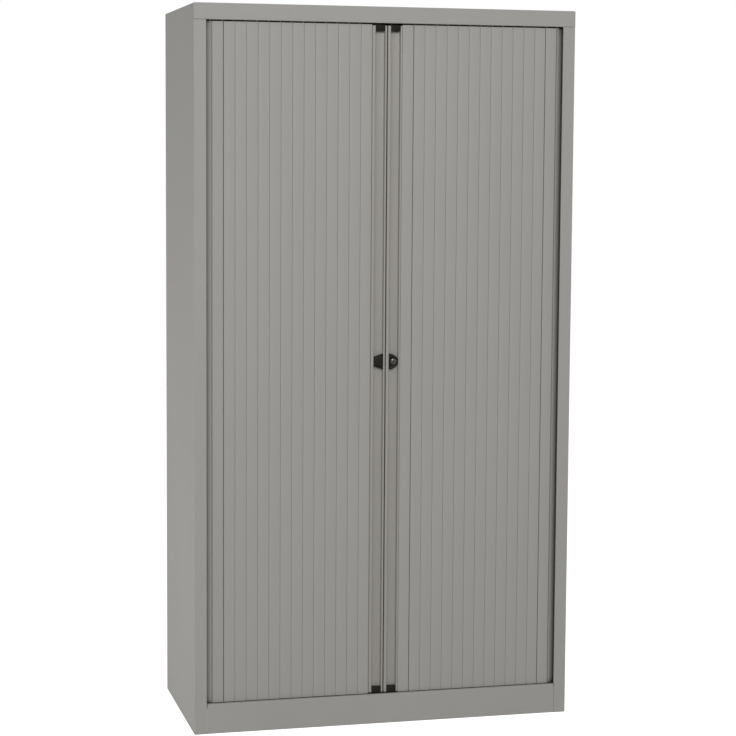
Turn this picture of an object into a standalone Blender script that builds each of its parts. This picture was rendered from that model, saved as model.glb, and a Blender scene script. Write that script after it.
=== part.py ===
# Tambour door cabinet: steel carcase, two roll-back shutters of hinged slats, lock, shelves and feet.
# Metres, +Z up. The front faces -Y, X runs across, and the origin is on the floor under the middle.
import math

import bmesh
import bpy
from mathutils import Matrix, Vector

# Overall size
WIDTH = 1.000
DEPTH = 0.470
HEIGHT = 1.855

# Sheet steel, bends and working gaps
SHEET = 0.001
BEND_R = 0.0015
BEND_STEPS = 3
FIT = 0.0003
OVERRUN = 0.004
WELD = 0.00001

# Carcase folds
TOP_RAIL_H = 0.041
TOP_REAR_H = 0.020
PLINTH_H = 0.078
FRONT_LIP_D = 0.0085
STILE_LIP_D = 0.004
BASE_RETURN_D = 0.015
STILE_W = 0.032
REAR_RETURN_W = 0.018
CORNER_ROUND = 0.003
ROUND_STEPS = 6
CORNER_SLIT_W = 0.0012
CORNER_SLIT_H = 0.0070

# Shutter slats
SLATS = 14
SLAT_T = 0.008
SLAT_SET_BACK = 0.0015
SLAT_FACE = 0.0022
SLAT_GAP = 0.0008
SLAT_JOINT = 0.0003
OPEN_JOINT = 0.0006
LIP_T = 0.0014
SLAT_CROWN = 0.0006
CROWN_STEPS = 6
FRONT_CHAMFER = 0.0005
REAR_CHAMFER = 0.0020
BEAD_R = 0.0018
NECK_T = 0.0012
SOCKET_R = 0.00215
MOUTH_W = 0.0026
MOUTH_CLEAR = 0.0002
HINGE_STEPS = 6
SLAT_TOP_GAP = 0.0035
SLAT_FOOT_GAP = 0.0010

# Corner that the shutter turns, and the room beside it on its way back
CORNER_R = 0.0257
SIDE_CLEAR = 0.0142
CORNER_STEPS = 8

# Plastic tracks
GROOVE_D = 0.012
GROOVE_CLEAR = 0.0007
TRACK_WALL = 0.0015
TRACK_WEB = 0.002
RELIEF_STEP = 0.0008
TRACK_END_GAP = 0.012
PIN_TOP_CLEAR = 0.002

# Lead rails, both the same section with a finger channel between a wide left lip and a narrow right lip
MEET_GAP = 0.0026
RAIL_W = 0.0378
RAIL_D = 0.018
LEFT_LIP_W = 0.0078
RIGHT_LIP_W = 0.0048
RAIL_WALL = 0.0018
RAIL_BEND_R = 0.0008
CHANNEL_D = 0.012

# End caps of the lead rails
CAP_H = 0.0185
CAP_PLATE = 0.002
CAP_TONGUE_W = 0.020
CAP_INSET = 0.0004
CAP_CHAMFER = 0.003

# Lock, its housing and the keeper opposite
LOCK_Z = 0.950
HOUSING_H = 0.040
HOUSING_PROUD = 0.001
HOUSING_STEPS = 20
HOUSING_BEVEL = 0.0012
KEEPER_SHORT_H = 0.023
BARREL_R = 0.0087
BARREL_PROUD = 0.0015
BARREL_SIDES = 28
SHANK_R = 0.0045
SHANK_END = 0.0004
KEYHOLE_W = 0.0022
KEYHOLE_H = 0.0056
KEYHOLE_D = 0.003
HOOK_T = 0.002
HOOK_HEAD_R = 0.008
HOOK_ARM_W = 0.008
HOOK_REACH = 0.0313
HOOK_NOSE_W = 0.0045
HOOK_NOSE_H = 0.006
HOOK_SLOT_UP = 0.0055
HOOK_SLOT_DOWN = 0.029
HOOK_STEPS = 14

# Slotted liners inside each side
LINER_BACK_OFF = 0.022
LINER_FLANGE_W = 0.006
SLOTS_PER_BAY = 4
SLOT_W = 0.003
SLOT_H = 0.020
SLOT_COLUMN_INSET = 0.045

# Shelves
SHELVES = 4
SHELF_H = 0.025
SHELF_END_GAP = 0.001
SHELF_FRONT_GAP = 0.004
SHELF_REAR_GAP = 0.003
SHELF_BEND_R = 0.0012
LUG_T = 0.002
LUG_H = 0.012
LUG_PAST = 0.003

# Levelling feet
FOOT_INSET_X = 0.075
FOOT_INSET_Y = 0.070
BOSS_R = 0.009
BOSS_H = 0.026
STUD_R = 0.004
STUD_CLEAR = 0.0004
STUD_TOP_GAP = 0.001
PAD_R = 0.016
PAD_H = 0.009
PAD_OFF_FLOOR = 0.0005
FOOT_SIDES = 20

# Places that follow from the sizes
FRONT_Y = -DEPTH / 2
HALF_W = WIDTH / 2
OPENING_X = HALF_W - STILE_W
SLAT_FRONT = FRONT_LIP_D + SLAT_SET_BACK
TRACK_Y = SLAT_FRONT + SLAT_T / 2
TRACK_X = HALF_W - SHEET - SIDE_CLEAR - SLAT_T / 2
CORNER_X = TRACK_X - CORNER_R
CORNER_Y = TRACK_Y + CORNER_R
GROOVE_W = 2 * (BEAD_R + GROOVE_CLEAR)
TRACK_W = GROOVE_W + 2 * TRACK_WALL
RAIL_X = MEET_GAP / 2
FIRST_JOINT = RAIL_X + RAIL_W + SLAT_GAP + SLAT_FACE
PITCH = (CORNER_X - FIRST_JOINT) / SLATS
TAIL_TILT = math.asin(PITCH / (2 * CORNER_R))
FLOOR_TRACK_H = GROOVE_D + TRACK_WEB
FLOOR_TRACK_TOP = PLINTH_H - FIT
FLOOR_Z = FLOOR_TRACK_TOP - FLOOR_TRACK_H - FIT
TOP_TRACK_FOOT = HEIGHT - TOP_RAIL_H + SHEET + FIT
TOP_TRACK_HEAD = HEIGHT - SHEET - FIT
SLAT_Z0 = PLINTH_H + SLAT_FOOT_GAP
SLAT_Z1 = HEIGHT - TOP_RAIL_H - SLAT_TOP_GAP
SLAT_MID = (SLAT_Z0 + SLAT_Z1) / 2
PIN_Z0 = FLOOR_TRACK_TOP - GROOVE_D + FIT
PIN_Z1 = TOP_TRACK_FOOT + GROOVE_D - PIN_TOP_CLEAR
RAIL_Z0 = SLAT_Z0 + CAP_PLATE + FIT
RAIL_Z1 = SLAT_Z1 - CAP_PLATE - FIT
CHANNEL_W = RAIL_W - LEFT_LIP_W - RIGHT_LIP_W
RAIL_TRAVEL = SLATS * PITCH
TAIL_TURN = math.pi / 2 - 2 * TAIL_TILT
BACK_D = DEPTH - SHEET - FIT
LINER_D = SLAT_FRONT + RAIL_D + LINER_BACK_OFF
SHELF_D0 = LINER_D + SHELF_FRONT_GAP
SHELF_D1 = BACK_D - SHEET - SHELF_REAR_GAP
INNER_H = HEIGHT - SHEET - FLOOR_Z
BAY_PITCH = INNER_H / (SHELVES + 1)
SLOT_PITCH = BAY_PITCH / SLOTS_PER_BAY
BARREL_X = RAIL_X + LEFT_LIP_W + CHANNEL_W / 2
HOOK_D0 = SLAT_FRONT + CHANNEL_D + RAIL_WALL + FIT

# Colours, roughness and metallic values
STEEL = ((0.309, 0.301, 0.283), 0.45, 0.0)
SLAT_GREY = ((0.305, 0.297, 0.278), 0.50, 0.0)
RAIL_GREY = ((0.290, 0.278, 0.255), 0.48, 0.0)
TRACK_GREY = ((0.080, 0.080, 0.080), 0.55, 0.0)
BLACK = ((0.012, 0.011, 0.010), 0.45, 0.0)
CHROME = ((0.550, 0.550, 0.540), 0.25, 1.0)
ZINC = ((0.420, 0.420, 0.410), 0.40, 1.0)

for old in list(bpy.data.objects):
    bpy.data.objects.remove(old, do_unlink=True)

parts = bpy.data.collections.new("tambour_door_cabinet")
helpers = bpy.data.collections.new("cutters")
for group in (parts, helpers):
    bpy.context.scene.collection.children.link(group)


def look(obj, values):
    colour, roughness, metallic = values
    material = bpy.data.materials.new(obj.name)
    material.use_nodes = True
    shader = material.node_tree.nodes["Principled BSDF"]
    shader.inputs["Base Color"].default_value = (*colour, 1.0)
    shader.inputs["Roughness"].default_value = roughness
    shader.inputs["Metallic"].default_value = metallic
    material.diffuse_color = (*colour, 1.0)
    obj.data.materials.clear()
    obj.data.materials.append(material)
    return obj


def helper(obj):
    obj.hide_render = True
    obj.display_type = "WIRE"
    return obj


def mesh_object(name, mesh, group):
    obj = bpy.data.objects.new(name, mesh)
    group.objects.link(obj)
    return obj


def baked(obj):
    """The object as its modifiers leave it, as a plain mesh with its points welded."""
    bpy.context.view_layer.update()
    graph = bpy.context.evaluated_depsgraph_get()
    mesh = bpy.data.meshes.new_from_object(obj.evaluated_get(graph))
    shape = bmesh.new()
    shape.from_mesh(mesh)
    bmesh.ops.remove_doubles(shape, verts=shape.verts, dist=WELD)
    bmesh.ops.recalc_face_normals(shape, faces=shape.faces)
    shape.to_mesh(mesh)
    shape.free()
    return mesh


def extruded(name, outline, length, group, location, rotation=(0.0, 0.0, 0.0)):
    """A flat outline extruded by this length, centred on its own plane, as a welded mesh."""
    curve = bpy.data.curves.new(name, "CURVE")
    curve.dimensions = "2D"
    curve.fill_mode = "BOTH"
    curve.extrude = length / 2
    spline = curve.splines.new("POLY")
    spline.points.add(len(outline) - 1)
    for point, (x, y) in zip(spline.points, outline):
        point.co = (x, y, 0.0, 1.0)
    spline.use_cyclic_u = True
    guide = bpy.data.objects.new(name + "_outline", curve)
    group.objects.link(guide)
    mesh = baked(guide)
    bpy.data.objects.remove(guide, do_unlink=True)
    obj = mesh_object(name, mesh, group)
    obj.location = location
    obj.rotation_euler = rotation
    return obj


def box(name, low, high, group):
    """A box between two corners, with its origin at its middle."""
    mesh = bpy.data.meshes.new(name)
    shape = bmesh.new()
    bmesh.ops.create_cube(shape, size=1.0)
    sides = [b - a for a, b in zip(low, high)]
    bmesh.ops.scale(shape, vec=Vector(sides), verts=shape.verts)
    shape.to_mesh(mesh)
    shape.free()
    obj = mesh_object(name, mesh, group)
    obj.location = [(a + b) / 2 for a, b in zip(low, high)]
    return obj


def boxes(name, corners, group):
    """Several separate boxes in one mesh, as one cutter."""
    mesh = bpy.data.meshes.new(name)
    shape = bmesh.new()
    for low, high in corners:
        made = bmesh.ops.create_cube(shape, size=1.0)["verts"]
        bmesh.ops.scale(shape, vec=Vector([b - a for a, b in zip(low, high)]), verts=made)
        bmesh.ops.translate(shape, vec=Vector([(a + b) / 2 for a, b in zip(low, high)]), verts=made)
    shape.to_mesh(mesh)
    shape.free()
    return mesh_object(name, mesh, group)


def cylinder(name, radius, length, sides, group, location, rotation=(0.0, 0.0, 0.0)):
    mesh = bpy.data.meshes.new(name)
    shape = bmesh.new()
    bmesh.ops.create_cone(
        shape, cap_ends=True, segments=sides, radius1=radius, radius2=radius, depth=length
    )
    shape.to_mesh(mesh)
    shape.free()
    obj = mesh_object(name, mesh, group)
    obj.location = location
    obj.rotation_euler = rotation
    return obj


def boolean(obj, other, operation):
    modifier = obj.modifiers.new(other.name, "BOOLEAN")
    modifier.operation = operation
    modifier.object = helper(other)
    modifier.solver = "EXACT"


def cut(obj, other):
    boolean(obj, other, "DIFFERENCE")


def join(obj, other):
    boolean(obj, other, "UNION")


def mirrored(outline):
    return [(-x, y) for x, y in reversed(outline)]


def sided(outline, side):
    """The right-hand outline, or its mirror image for the left."""
    return outline if side > 0 else mirrored(outline)


def span(side, near, far):
    """Low and high X of a piece between two distances from the middle, on one side."""
    return (near, far) if side > 0 else (-far, -near)


def filleted(path, radius, steps):
    """An open path with each inner corner replaced by an arc."""
    points = [Vector(path[0])]
    for before, corner, after in zip(path, path[1:], path[2:]):
        corner = Vector(corner)
        back = (Vector(before) - corner).normalized()
        ahead = (Vector(after) - corner).normalized()
        half = back.angle(ahead) / 2
        middle = corner + (back + ahead).normalized() * (radius / math.sin(half))
        first = corner + back * (radius / math.tan(half))
        turn = (first - middle).angle_signed(corner + ahead * (radius / math.tan(half)) - middle)
        for step in range(steps + 1):
            arm = (first - middle).copy()
            arm.rotate(Matrix.Rotation(-turn * step / steps, 2))
            points.append(middle + arm)
    points.append(Vector(path[-1]))
    return points


def offset(points, distance):
    """An open path moved to its left by this distance, with mitred corners."""
    moved = []
    for i, point in enumerate(points):
        ways = []
        if i > 0:
            ways.append((point - points[i - 1]).normalized())
        if i < len(points) - 1:
            ways.append((points[i + 1] - point).normalized())
        normals = [Vector((-way.y, way.x)) for way in ways]
        middle = sum(normals, Vector((0.0, 0.0))).normalized()
        moved.append(point + middle * (distance / middle.dot(normals[0])))
    return moved


def folded(path, sheet, radius, steps=BEND_STEPS):
    """The closed outline of a sheet folded along a path, with the sheet on the path's left."""
    outer = filleted(path, radius, steps)
    inner = offset(outer, sheet)
    return [tuple(p) for p in outer] + [tuple(p) for p in reversed(inner)]


def arc(centre, radius, start, end, steps):
    return [
        (
            centre[0] + radius * math.cos(start + (end - start) * i / steps),
            centre[1] + radius * math.sin(start + (end - start) * i / steps),
        )
        for i in range(steps + 1)
    ]


SECTION_TURN = (math.pi / 2, 0.0, math.pi / 2)
FACE_TURN = (math.pi / 2, 0.0, 0.0)


def corner_round(name, side, end, deep):
    """A cutter that rounds an outer corner in front view, at the top (end 1) or the foot (end -1)."""
    level = HEIGHT if end > 0 else 0.0
    x, z = HALF_W - CORNER_ROUND, level - end * CORNER_ROUND
    beyond = level + end * OVERRUN
    outline = arc((x, z), CORNER_ROUND, 0.0, end * math.pi / 2, ROUND_STEPS) + [
        (x, beyond),
        (HALF_W + OVERRUN, beyond),
        (HALF_W + OVERRUN, z),
    ]
    if end > 0:
        outline.reverse()
    middle = FRONT_Y + (deep - OVERRUN) / 2
    return extruded(name, sided(outline, side), deep + OVERRUN, helpers, (0.0, middle, 0.0), FACE_TURN)


# Top panel: a lid with a box rail along its front
def top_panel():
    section = folded(
        [
            (DEPTH, HEIGHT - TOP_REAR_H),
            (DEPTH, HEIGHT),
            (0.0, HEIGHT),
            (0.0, HEIGHT - TOP_RAIL_H),
            (FRONT_LIP_D, HEIGHT - TOP_RAIL_H),
        ],
        SHEET,
        BEND_R,
    )
    top = extruded("top_panel", section, WIDTH, parts, (0.0, FRONT_Y, 0.0), SECTION_TURN)
    rear = DEPTH - SHEET - OVERRUN
    for side, name in ((1, "right"), (-1, "left")):
        low, high = span(side, HALF_W - REAR_RETURN_W - FIT, HALF_W + OVERRUN)
        corner = box(
            f"top_rear_notch_{name}",
            (low, FRONT_Y + rear, HEIGHT - TOP_REAR_H - OVERRUN),
            (high, FRONT_Y + DEPTH + OVERRUN, HEIGHT - SHEET),
            helpers,
        )
        cut(top, corner)
        low, high = span(side, HALF_W - FIT - SHEET, HALF_W - FIT)
        end = box(
            f"top_rail_end_{name}",
            (low, FRONT_Y + SHEET / 2, HEIGHT - TOP_RAIL_H + SHEET / 2),
            (high, FRONT_Y + FRONT_LIP_D - FIT, HEIGHT - SHEET / 2),
            helpers,
        )
        join(top, end)
        cut(top, corner_round(f"top_round_{name}", side, 1, DEPTH + OVERRUN))
    return look(top, STEEL)


# Side panels: each a folded sheet with the front stile and a rear return
def side_panel(side, name):
    outline = folded(
        [
            (OPENING_X, STILE_LIP_D),
            (OPENING_X, 0.0),
            (HALF_W, 0.0),
            (HALF_W, DEPTH),
            (HALF_W - REAR_RETURN_W, DEPTH),
        ],
        SHEET,
        BEND_R,
    )
    tall = HEIGHT - SHEET - FIT
    panel = extruded(
        f"side_panel_{name}", sided(outline, side), tall, parts, (0.0, FRONT_Y, tall / 2)
    )
    low, high = span(side, OPENING_X - OVERRUN, HALF_W + OVERRUN)
    notch = box(
        f"stile_notch_{name}",
        (low, FRONT_Y - OVERRUN, HEIGHT - TOP_RAIL_H - FIT),
        (high, FRONT_Y + FRONT_LIP_D + FIT, HEIGHT),
        helpers,
    )
    cut(panel, notch)
    cut(panel, corner_round(f"panel_top_round_{name}", side, 1, DEPTH + OVERRUN))
    cut(panel, corner_round(f"stile_foot_round_{name}", side, -1, SHEET + BEND_R))
    return look(panel, STEEL)


# Base: plinth, lip, floor and rear flange in one sheet, folded in where it stands, with four bosses
def base():
    section = folded(
        [
            (BACK_D - BASE_RETURN_D, 0.0),
            (BACK_D, 0.0),
            (BACK_D, FLOOR_Z),
            (FRONT_LIP_D, FLOOR_Z),
            (FRONT_LIP_D, PLINTH_H),
            (0.0, PLINTH_H),
            (0.0, 0.0),
            (BASE_RETURN_D, 0.0),
        ],
        SHEET,
        BEND_R,
    )
    wide = 2 * (HALF_W - SHEET - FIT)
    floor = extruded("base", section, wide, parts, (0.0, FRONT_Y, 0.0), SECTION_TURN)
    for side, name in ((1, "right"), (-1, "left")):
        low, high = span(side, OPENING_X - FIT, HALF_W + OVERRUN)
        notch = box(
            f"plinth_notch_{name}",
            (low, FRONT_Y - OVERRUN, -OVERRUN),
            (high, FRONT_Y + FRONT_LIP_D + FIT, PLINTH_H + OVERRUN),
            helpers,
        )
        cut(floor, notch)
        low, high = span(side, OPENING_X - FIT - CORNER_SLIT_W, OPENING_X)
        slit = box(
            f"plinth_slit_{name}",
            (low, FRONT_Y - OVERRUN, PLINTH_H - CORNER_SLIT_H),
            (high, FRONT_Y + SHEET + BEND_R, PLINTH_H + OVERRUN),
            helpers,
        )
        cut(floor, slit)
    for name, x, y in foot_places():
        tall = BOSS_H + SHEET / 2
        boss = cylinder(
            f"boss_{name}", BOSS_R, tall, FOOT_SIDES, helpers, (x, y, FLOOR_Z - SHEET / 2 - tall / 2)
        )
        join(floor, boss)
    for name, x, y in foot_places():
        bore = cylinder(
            f"boss_bore_{name}",
            STUD_R + STUD_CLEAR,
            2 * (BOSS_H + OVERRUN),
            FOOT_SIDES,
            helpers,
            (x, y, FLOOR_Z - SHEET - BOSS_H),
        )
        cut(floor, bore)
    return look(floor, STEEL)


def foot_places():
    x = HALF_W - FOOT_INSET_X
    y = DEPTH / 2 - FOOT_INSET_Y
    return (
        ("front_left", -x, -y),
        ("front_right", x, -y),
        ("rear_left", -x, y),
        ("rear_right", x, y),
    )


# Levelling feet: a stud in its boss with a round pad
def foot(name, x, y):
    stud_z0 = PAD_OFF_FLOOR + PAD_H / 2
    stud_z1 = FLOOR_Z - SHEET - STUD_TOP_GAP
    pad = cylinder(
        f"foot_{name}", PAD_R, PAD_H, FOOT_SIDES, parts, (x, y, PAD_OFF_FLOOR + PAD_H / 2)
    )
    stud = cylinder(
        f"stud_{name}",
        STUD_R,
        stud_z1 - stud_z0,
        FOOT_SIDES,
        helpers,
        (x, y, (stud_z0 + stud_z1) / 2),
    )
    join(pad, stud)
    return look(pad, ZINC)


# Back panel: a flat sheet held inside the side panels' rear returns
def back_panel():
    half = HALF_W - SHEET - FIT
    panel = box(
        "back_panel",
        (-half, FRONT_Y + BACK_D - SHEET, FLOOR_Z + FIT),
        (half, FRONT_Y + BACK_D, HEIGHT - SHEET - FIT),
        parts,
    )
    return look(panel, STEEL)


def shelf_z(number):
    """Height of a shelf's top face, counted from the lowest."""
    return FLOOR_Z + number * BAY_PITCH


def slot_foot(number):
    return FLOOR_Z + number * SLOT_PITCH - SHELF_H / 2 - LUG_H / 2 - FIT


def slot_columns():
    """Depths of the front, middle and rear columns of slots."""
    front = LINER_D + SLOT_COLUMN_INSET
    rear = BACK_D - SHEET - SLOT_COLUMN_INSET
    return (front, (front + rear) / 2, rear)


# Liners: the slotted inner walls that hold the shelves and hide the stored shutters
def liner(side, name):
    outline = folded(
        [
            (OPENING_X, BACK_D - SHEET - FIT),
            (OPENING_X, LINER_D),
            (OPENING_X + LINER_FLANGE_W, LINER_D),
        ],
        SHEET,
        BEND_R,
    )
    low_z = FLOOR_Z + FIT
    high_z = HEIGHT - SHEET - FIT
    panel = extruded(
        f"liner_{name}",
        sided(outline, side),
        high_z - low_z,
        parts,
        (0.0, FRONT_Y, (low_z + high_z) / 2),
    )
    low, high = span(side, OPENING_X - OVERRUN, OPENING_X + OVERRUN)
    corners = []
    for depth in slot_columns():
        y = FRONT_Y + depth
        for number in range(1, SLOTS_PER_BAY * (SHELVES + 1)):
            z = slot_foot(number)
            corners.append(((low, y - SLOT_W / 2, z), (high, y + SLOT_W / 2, z + SLOT_H)))
    cut(panel, boxes(f"slots_{name}", corners, helpers))
    return look(panel, STEEL)


# Shelves: folded pans with six lugs that hook into the liners' slots
def shelf(number):
    top = shelf_z(number)
    half = OPENING_X - SHELF_END_GAP
    outline = folded(
        [
            (SHELF_D1, top - SHELF_H),
            (SHELF_D1, top),
            (SHELF_D0, top),
            (SHELF_D0, top - SHELF_H),
        ],
        SHEET,
        SHELF_BEND_R,
    )
    pan = extruded(f"shelf_{number}", outline, 2 * half, parts, (0.0, FRONT_Y, 0.0), SECTION_TURN)
    ends = []
    for side in (1, -1):
        low, high = span(side, half - SHEET, half)
        ends.append(
            (
                (low, FRONT_Y + SHELF_D0 + SHEET / 2, top - SHELF_H),
                (high, FRONT_Y + SHELF_D1 - SHEET / 2, top - SHEET / 2),
            )
        )
    join(pan, boxes(f"shelf_ends_{number}", ends, helpers))
    lugs = []
    middle = top - SHELF_H / 2
    for side in (1, -1):
        low, high = span(side, half - SHEET / 2, OPENING_X + SHEET + LUG_PAST)
        for depth in slot_columns():
            y = FRONT_Y + depth
            lugs.append(
                (
                    (low, y - LUG_T / 2, middle - LUG_H / 2),
                    (high, y + LUG_T / 2, middle + LUG_H / 2),
                )
            )
    join(pan, boxes(f"shelf_lugs_{number}", lugs, helpers))
    return look(pan, STEEL)


def track_band(width, overrun):
    """Outline in plan of a band this wide along the shutter's path: front run, corner and side run."""
    half = width / 2
    centre = (CORNER_X, CORNER_Y)
    start = FIT - overrun
    end = BACK_D - SHEET - TRACK_END_GAP + overrun
    outer = arc(centre, CORNER_R + half, -math.pi / 2, 0.0, CORNER_STEPS)
    inner = arc(centre, CORNER_R - half, 0.0, -math.pi / 2, CORNER_STEPS)
    return (
        [(start, TRACK_Y - half)]
        + outer
        + [(TRACK_X + half, end), (TRACK_X - half, end)]
        + inner
        + [(start, TRACK_Y + half)]
    )


# Tracks: grooved plastic rails that guide the shutters' pins at the top and on the floor
def track(level, side, name):
    if level == "top":
        low, high = TOP_TRACK_FOOT, TOP_TRACK_HEAD
        groove_low, groove_high = low - OVERRUN, low + GROOVE_D
    else:
        low, high = FLOOR_Z + FIT, FLOOR_TRACK_TOP
        groove_low, groove_high = high - GROOVE_D, high + OVERRUN
    rail = extruded(
        f"{level}_track_{name}",
        sided(track_band(TRACK_W, 0.0), side),
        high - low,
        parts,
        (0.0, FRONT_Y, (low + high) / 2),
    )
    groove = extruded(
        f"{level}_groove_{name}",
        sided(track_band(GROOVE_W, OVERRUN), side),
        groove_high - groove_low,
        helpers,
        (0.0, FRONT_Y, (groove_low + groove_high) / 2),
    )
    cut(rail, groove)
    if level == "top":
        relief_low, relief_high = groove_high + TRACK_WEB, high + OVERRUN
        relief = extruded(
            f"{level}_relief_{name}",
            sided(track_band(GROOVE_W - RELIEF_STEP, OVERRUN), side),
            relief_high - relief_low,
            helpers,
            (0.0, FRONT_Y, (relief_low + relief_high) / 2),
        )
        cut(rail, relief)
    return look(rail, TRACK_GREY)


def slat_outline(first_lip, joint):
    """Section of a slat in plan about its inner hinge: a crowned front, a socket at the hinge and a neck at its outer edge.

    Its front carries on as a lip, up to this joint from the next slat, and first_lip past its inner edge.
    The socket's mouth opens wider to the rear, where the neck in it leans as the shutter turns the corner."""
    half = SLAT_T / 2
    near = -SLAT_FACE
    far = PITCH - SLAT_FACE - SLAT_GAP
    near_lip, far_lip = near - first_lip, PITCH - SLAT_FACE - joint
    shoulder = -half + SLAT_CROWN
    room = NECK_T / 2 + MOUTH_CLEAR
    rear_mouth = TAIL_TILT + math.asin(room / SOCKET_R)
    front_mouth = math.asin(MOUTH_W / 2 / SOCKET_R)
    socket = arc((0.0, 0.0), SOCKET_R, math.pi - rear_mouth, -math.pi + front_mouth, HINGE_STEPS)
    # The mouth's rear edge runs beside the leaning neck until it meets the rear chamfer.
    rise = half - REAR_CHAMFER - near
    flare = (room - rise * math.cos(TAIL_TILT)) / (math.cos(TAIL_TILT) + math.sin(TAIL_TILT))
    first, last = near_lip + FRONT_CHAMFER, far_lip - FRONT_CHAMFER
    edge = shoulder + FRONT_CHAMFER
    crown = []
    for step in range(CROWN_STEPS + 1):
        along = step / CROWN_STEPS
        across = 2 * along - 1
        crown.append((first + (last - first) * along, -half + SLAT_CROWN * across * across))
    return (
        crown
        + [
            (far_lip, edge),
            (far_lip, edge + LIP_T / 2),
            (far, edge + LIP_T),
            (far, -NECK_T / 2),
            (PITCH, -NECK_T / 2),
            (PITCH, NECK_T / 2),
            (far, NECK_T / 2),
            (far, half - REAR_CHAMFER),
            (far - REAR_CHAMFER, half),
            (near + REAR_CHAMFER, half),
            (flare, flare + rise),
        ]
        + socket
        + [(near, -MOUTH_W / 2)]
        + ([(near, edge + LIP_T), (near_lip, edge + LIP_T / 2)] if first_lip else [])
        + [(near_lip, edge)]
    )


def hinge_bead(name, x, y, low, high):
    """The round bead along a hinge, between these heights."""
    return cylinder(name, BEAD_R, high - low, 2 * HINGE_STEPS, helpers, (x, y, (low + high) / 2))


def slat_mesh(side, name, first_lip, joint):
    """One slat about its inner hinge, at its own height. Its bead runs on past both ends as the guide pins."""
    body = extruded(
        f"slat_body_{name}",
        sided(slat_outline(first_lip, joint), side),
        SLAT_Z1 - SLAT_Z0,
        helpers,
        (0.0, 0.0, SLAT_MID),
    )
    join(body, hinge_bead(f"slat_bead_{name}", side * PITCH, 0.0, PIN_Z0, PIN_Z1))
    helper(body)
    mesh = baked(body)
    return mesh


# Slats: fourteen across each front, and one more that starts round the corner
def slats(side, name):
    mesh = slat_mesh(side, name, 0.0, SLAT_JOINT)
    open_mesh = slat_mesh(side, f"{name}_open", 0.0, OPEN_JOINT)
    meshes = [mesh] * SLATS
    meshes[-2] = open_mesh
    if side > 0:
        meshes[0] = slat_mesh(side, f"{name}_first", SLAT_GAP - SLAT_JOINT, OPEN_JOINT)
    for number in range(SLATS):
        slat = mesh_object(f"slat_{name}_{number + 1:02d}", meshes[number].copy(), parts)
        x = side * (FIRST_JOINT + number * PITCH)
        slat.location = (x, FRONT_Y + TRACK_Y, SLAT_MID)
        look(slat, SLAT_GREY)
    turn = Matrix.Rotation(side * TAIL_TILT, 4, "Z")
    shift = Matrix.Translation((0.0, -CORNER_R, 0.0))
    tail_mesh = mesh.copy()
    tail_mesh.transform(shift @ turn)
    tail = mesh_object(f"slat_{name}_{SLATS + 1:02d}", tail_mesh, parts)
    tail.location = (side * CORNER_X, FRONT_Y + CORNER_Y, SLAT_MID)
    look(tail, SLAT_GREY)


def rail_lips(side):
    """Widths of the lip next to the middle and of the lip next to the slats."""
    return (LEFT_LIP_W, RIGHT_LIP_W) if side > 0 else (RIGHT_LIP_W, LEFT_LIP_W)


# Lead rails: the handle sections that meet at the middle
def lead_rail(side, name):
    near, far = rail_lips(side)
    section = folded(
        [
            (0.0, RAIL_D),
            (0.0, 0.0),
            (near, 0.0),
            (near, CHANNEL_D),
            (RAIL_W - far, CHANNEL_D),
            (RAIL_W - far, 0.0),
            (RAIL_W, 0.0),
            (RAIL_W, RAIL_D),
        ],
        RAIL_WALL,
        RAIL_BEND_R,
        2,
    )
    section = [(RAIL_X + x, SLAT_FRONT + y) for x, y in section]
    tall = RAIL_Z1 - RAIL_Z0
    rail = extruded(
        f"lead_rail_{name}",
        sided(section, side),
        tall,
        parts,
        (0.0, FRONT_Y, (RAIL_Z0 + RAIL_Z1) / 2),
    )
    low, high = span(side, RAIL_X + RAIL_W - RAIL_WALL / 2, FIRST_JOINT)
    y = FRONT_Y + TRACK_Y
    neck = box(
        f"rail_neck_{name}",
        (low, y - NECK_T / 2, RAIL_Z0),
        (high, y + NECK_T / 2, RAIL_Z1),
        helpers,
    )
    join(rail, neck)
    join(rail, hinge_bead(f"rail_bead_{name}", side * FIRST_JOINT, y, RAIL_Z0, RAIL_Z1))
    low, high = span(side, -OVERRUN, RAIL_X + RAIL_WALL + FIT)
    slot = box(
        f"hook_slot_{name}",
        (low, FRONT_Y + HOOK_D0 - FIT, LOCK_Z - HOOK_SLOT_DOWN),
        (high, FRONT_Y + SLAT_FRONT + RAIL_D + OVERRUN, LOCK_Z + HOOK_SLOT_UP),
        helpers,
    )
    cut(rail, slot)
    if side > 0:
        bore = cylinder(
            "shank_bore",
            SHANK_R + FIT,
            2 * RAIL_D,
            BARREL_SIDES,
            helpers,
            (BARREL_X, FRONT_Y + SLAT_FRONT + CHANNEL_D, LOCK_Z),
            FACE_TURN,
        )
        cut(rail, bore)
    return look(rail, RAIL_GREY)


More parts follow.
